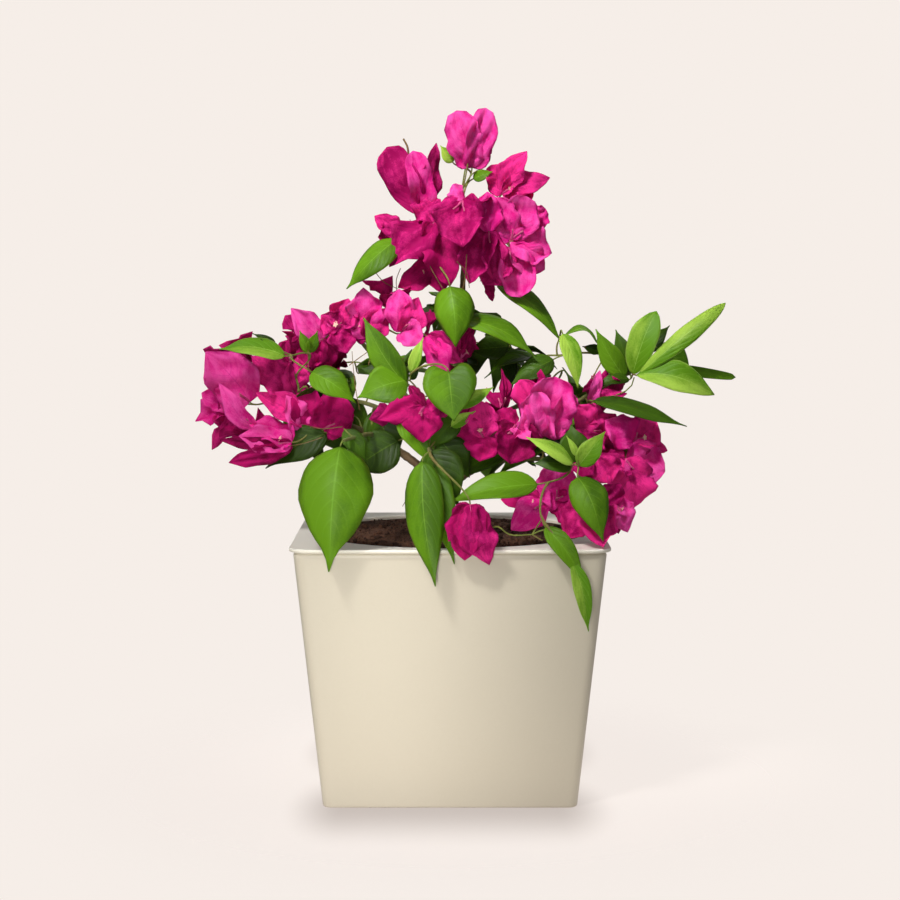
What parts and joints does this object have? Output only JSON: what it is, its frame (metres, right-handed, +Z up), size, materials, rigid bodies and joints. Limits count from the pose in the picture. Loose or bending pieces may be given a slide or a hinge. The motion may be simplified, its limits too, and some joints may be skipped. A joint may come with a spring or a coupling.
{
  "type": "potted bougainvillea bush",
  "caption": "Young bougainvillea bush with magenta bracts and pointed green leaves, growing from a cream square tapered planter with a thin overhanging rim.",
  "frame": {"origin": "middle of the planter's flat underside, on the ground", "axes": "+Z up, -Y towards the plant's front, +X to the right seen from the front"},
  "size_m": [0.398, 0.277, 0.498],
  "materials": {
    "planter": "satin cream glaze, smooth",
    "soil": "matte, loose dark reddish-brown potting soil",
    "bark": "rough tan to grey-brown bark, green on young limbs",
    "leaves": "semi-matte mid green",
    "bracts": "matte papery magenta"
  },
  "bodies": {
    "root": {"planter_body": "planter", "planter_rim": "planter", "soil": "soil", "trunk": "bark", "bough_top": "bark", "bough_left": "bark", "bough_right": "bark", "bough_back": "bark", "bough_front": "bark", "bough_shoulder": "bark", "bough_left_front": "bark", "bough_right_front": "bark", "bough_right_shoot": "bark", "bough_back_left": "bark", "bough_back_right": "bark", "leaf_top_left": "leaves", "leaves_upper_right": "leaves", "leaves_left_middle": "leaves", "leaves_right_inner": "leaves", "leaves_right_up": "leaves", "leaves_right_long": "leaves", "leaf_right_low": "leaves", "leaves_left_top": "leaves", "leaves_left_under": "leaves", "leaves_heart": "leaves", "leaf_hanging_left": "leaves", "leaf_hanging_middle": "leaves", "leaf_low_middle": "leaves", "leaves_rosette": "leaves", "leaf_trailing": "leaves", "leaves_inner": "leaves", "leaves_low_inner": "leaves", "leaves_back_upper": "leaves", "leaves_back_middle": "leaves", "leaves_back_left": "leaves", "leaves_back_right": "leaves", "leaves_back_hanging": "leaves", "bloom_top_tip": "bracts", "bloom_top_left": "bracts", "bloom_top_right": "bracts", "bloom_top_front": "bracts", "bloom_top_low_right": "bracts", "bloom_top_low_left": "bracts", "bloom_top_back": "bracts", "bloom_shoulder_left": "bracts", "bloom_shoulder_middle": "bracts", "bloom_left_far": "bracts", "bloom_left_inner": "bracts", "bloom_left_low": "bracts", "bloom_middle": "bracts", "bloom_centre": "bracts", "bloom_right": "bracts", "bloom_right_low": "bracts", "bloom_centre_low": "bracts", "bloom_hanging": "bracts", "bloom_back_left": "bracts", "bloom_back_right": "bracts", "bloom_back_upper": "bracts", "bloom_back_low": "bracts"}
  },
  "joints": []
}
